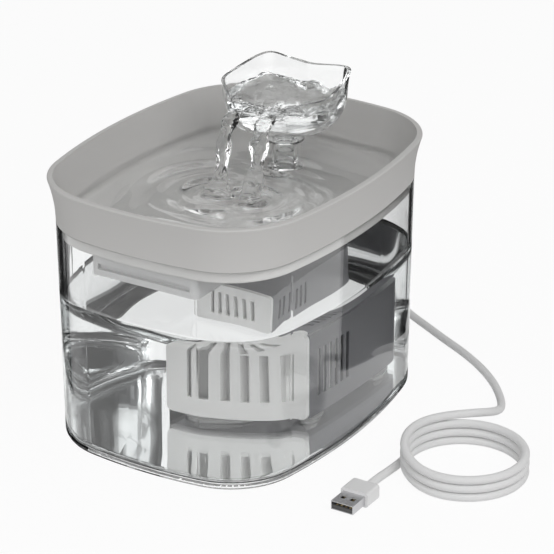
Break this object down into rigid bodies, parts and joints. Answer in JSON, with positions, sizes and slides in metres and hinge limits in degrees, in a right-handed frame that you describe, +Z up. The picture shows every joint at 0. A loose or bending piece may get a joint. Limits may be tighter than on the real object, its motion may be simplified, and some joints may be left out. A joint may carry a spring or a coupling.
{
  "type": "pet water fountain",
  "caption": "Clear bulged-rectangle water tank with a gray drinking tray, a clear petal bowl on a stem, a filter drawer, a submersible pump and a coiled white USB lead.",
  "frame": {"origin": "on the floor at the centre of the tank's plan outline", "axes": "+Z up, +Y to the back where the petal bowl stands and the lead leaves, +X to the right seen from the front"},
  "size_m": [0.2396, 0.2355, 0.167],
  "materials": {
    "clear_tank": "gloss clear moulded plastic",
    "warm_gray_plastic": "satin, fine moulded grain",
    "clear_stem": "gloss clear moulded plastic",
    "clear_bowl": "gloss clear moulded plastic",
    "gray_inner_plastic": "satin",
    "white_plastic": "satin",
    "carbon_foam": "granular",
    "cotton": "felted fibre pad",
    "dark_gray_plastic": "satin",
    "sponge": "white open-cell foam",
    "silicone": "soft translucent silicone",
    "black_plastic": "satin",
    "stator_steel": "laminated",
    "copper": "enamelled wire",
    "ceramic": "ground ceramic",
    "magnet": "moulded ferrite",
    "white_lead": "satin jacket",
    "white_plug": "satin moulded housing",
    "plug_metal": "nickel plated",
    "plug_insulator": "moulded",
    "gold_contacts": "gold plated"
  },
  "bodies": {
    "tank_and_pump": {"tank": "clear_tank", "pump_case": "dark_gray_plastic", "intake_sponge": "sponge", "suction_cups": "silicone", "pump_body": "black_plastic", "stator_core": "stator_steel", "stator_coil": "copper", "volute_cover": "black_plastic", "impeller_shaft": "ceramic", "shaft_bushes": "silicone", "pump_boot": "white_lead", "lead_grommet": "silicone", "inner_lead": "white_lead", "free_lead": "white_lead", "lead_coil": "white_lead", "lead_tail": "white_lead", "plug_housing": "white_plug", "plug_shell": "plug_metal", "plug_tongue": "plug_insulator", "plug_contacts": "gold_contacts"},
    "tray": {"drinking_tray": "warm_gray_plastic", "riser_pipe": "gray_inner_plastic"},
    "stem": {"stem_tube": "clear_stem"},
    "bowl": {"petal_bowl": "clear_bowl"},
    "drawer": {"filter_drawer": "gray_inner_plastic", "cartridge_frame": "white_plastic", "carbon_pad": "carbon_foam", "cotton_pad": "cotton"},
    "door": {"case_door": "white_plastic"},
    "dial": {"flow_dial": "white_plastic"},
    "rotor": {"rotor_magnet": "magnet", "impeller": "white_plastic"}
  },
  "joints": [
    {"name": "tray_lift", "type": "slide", "parent": "tank_and_pump", "child": "tray", "axis": [0, 0, 1], "range_m": [0, 0.07]},
    {"name": "stem_pull", "type": "slide", "parent": "tray", "child": "stem", "axis": [0, 0, 1], "range_m": [0, 0.03]},
    {"name": "bowl_turn", "type": "hinge", "parent": "stem", "child": "bowl", "pos_m": [0, 0.044, 0.133], "axis": [0, 0, 1], "range_deg": [-60, 60]},
    {"name": "drawer_drop", "type": "slide", "parent": "tray", "child": "drawer", "axis": [0, 0, -1], "range_m": [0, 0.025]},
    {"name": "door_pull", "type": "slide", "parent": "tank_and_pump", "child": "door", "axis": [0, -1, 0], "range_m": [0, 0.03]},
    {"name": "dial_turn", "type": "hinge", "parent": "tank_and_pump", "child": "dial", "pos_m": [0, 0.0325, 0.0275], "axis": [0, 1, 0], "range_deg": [0, 60]},
    {"name": "impeller_spin", "type": "hinge", "parent": "tank_and_pump", "child": "rotor", "pos_m": [0, 0.05, 0.0275], "axis": [0, 1, 0], "continuous": true}
  ]
}
